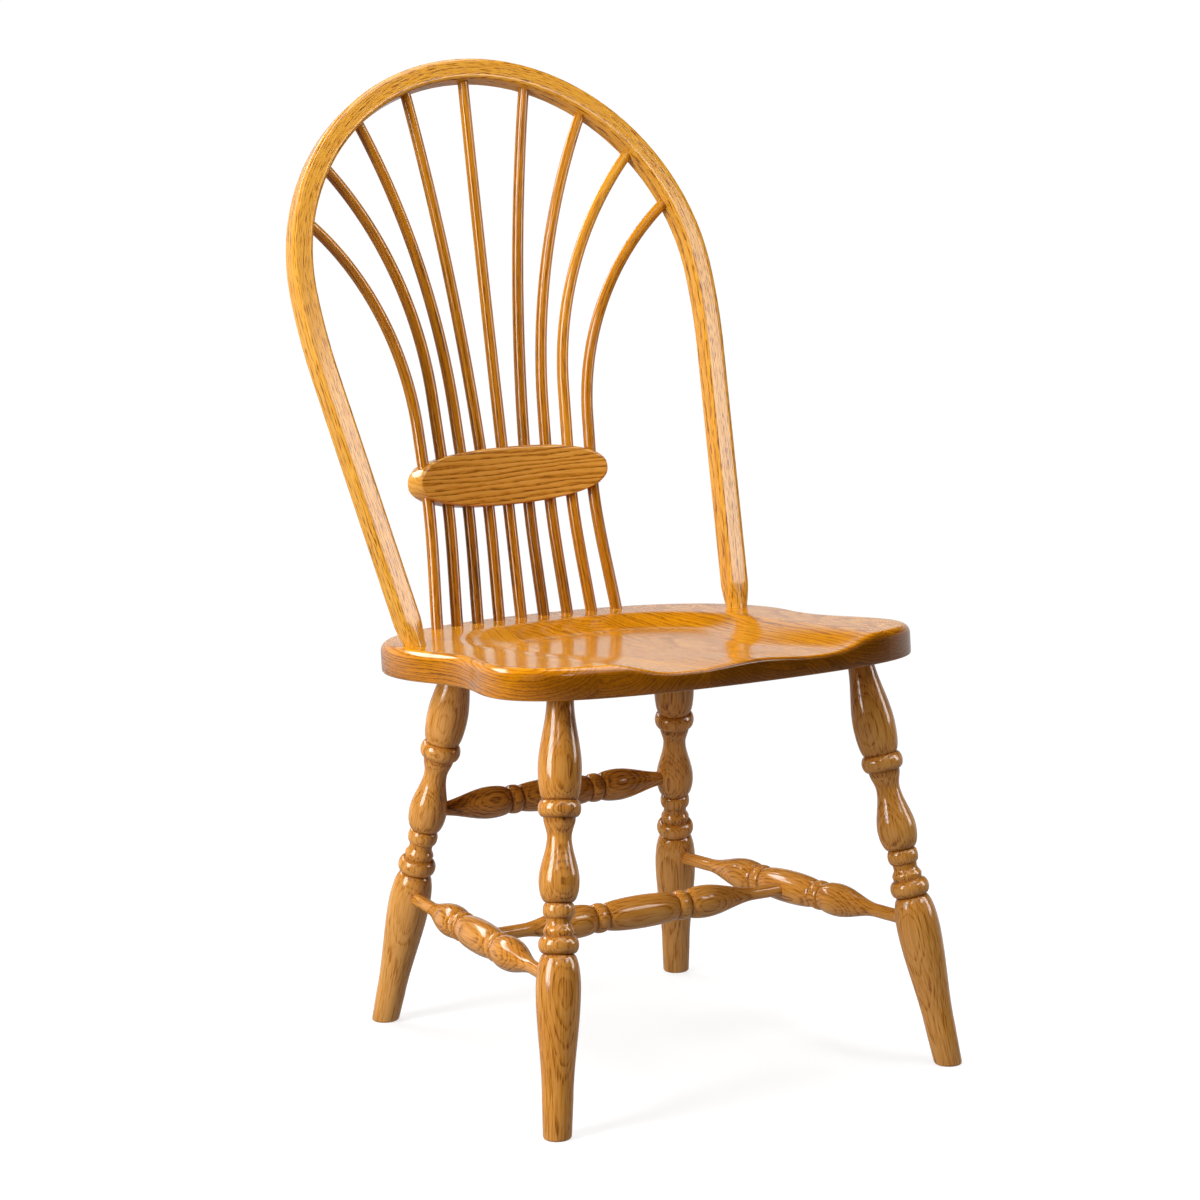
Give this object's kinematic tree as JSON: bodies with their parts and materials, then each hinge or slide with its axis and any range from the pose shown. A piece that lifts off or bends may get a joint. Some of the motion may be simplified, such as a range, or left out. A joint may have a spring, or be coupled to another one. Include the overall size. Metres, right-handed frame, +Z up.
{
  "type": "windsor chair",
  "caption": "Wooden windsor side chair with a saddled seat, splayed turned legs and stretchers, and a hooped bow holding bent spindles gathered by an oval block.",
  "frame": {"origin": "on the floor, under the middle of the chair's bounding box", "axes": "+Z up, the sitter faces -Y, +X to the right for someone who looks at the chair's front"},
  "size_m": [0.5304, 0.6465, 1.0746],
  "materials": {
    "oak_seat": "stained amber, satin lacquer",
    "oak_bow": "stained amber, satin lacquer",
    "oak_spindle": "stained amber, satin lacquer",
    "oak_block": "stained amber, satin lacquer",
    "oak_leg": "stained amber, satin lacquer",
    "oak_stretcher": "stained amber, satin lacquer"
  },
  "bodies": {
    "root": {"seat": "oak_seat", "back_bow": "oak_bow", "spindle_1": "oak_spindle", "spindle_2": "oak_spindle", "spindle_3": "oak_spindle", "spindle_4": "oak_spindle", "spindle_5": "oak_spindle", "spindle_6": "oak_spindle", "spindle_7": "oak_spindle", "spindle_8": "oak_spindle", "spindle_9": "oak_spindle", "sheaf_block": "oak_block", "leg_front_left": "oak_leg", "leg_front_right": "oak_leg", "leg_rear_left": "oak_leg", "leg_rear_right": "oak_leg", "side_stretcher_left": "oak_stretcher", "side_stretcher_right": "oak_stretcher", "centre_stretcher": "oak_stretcher", "rear_stretcher": "oak_stretcher"}
  },
  "joints": []
}
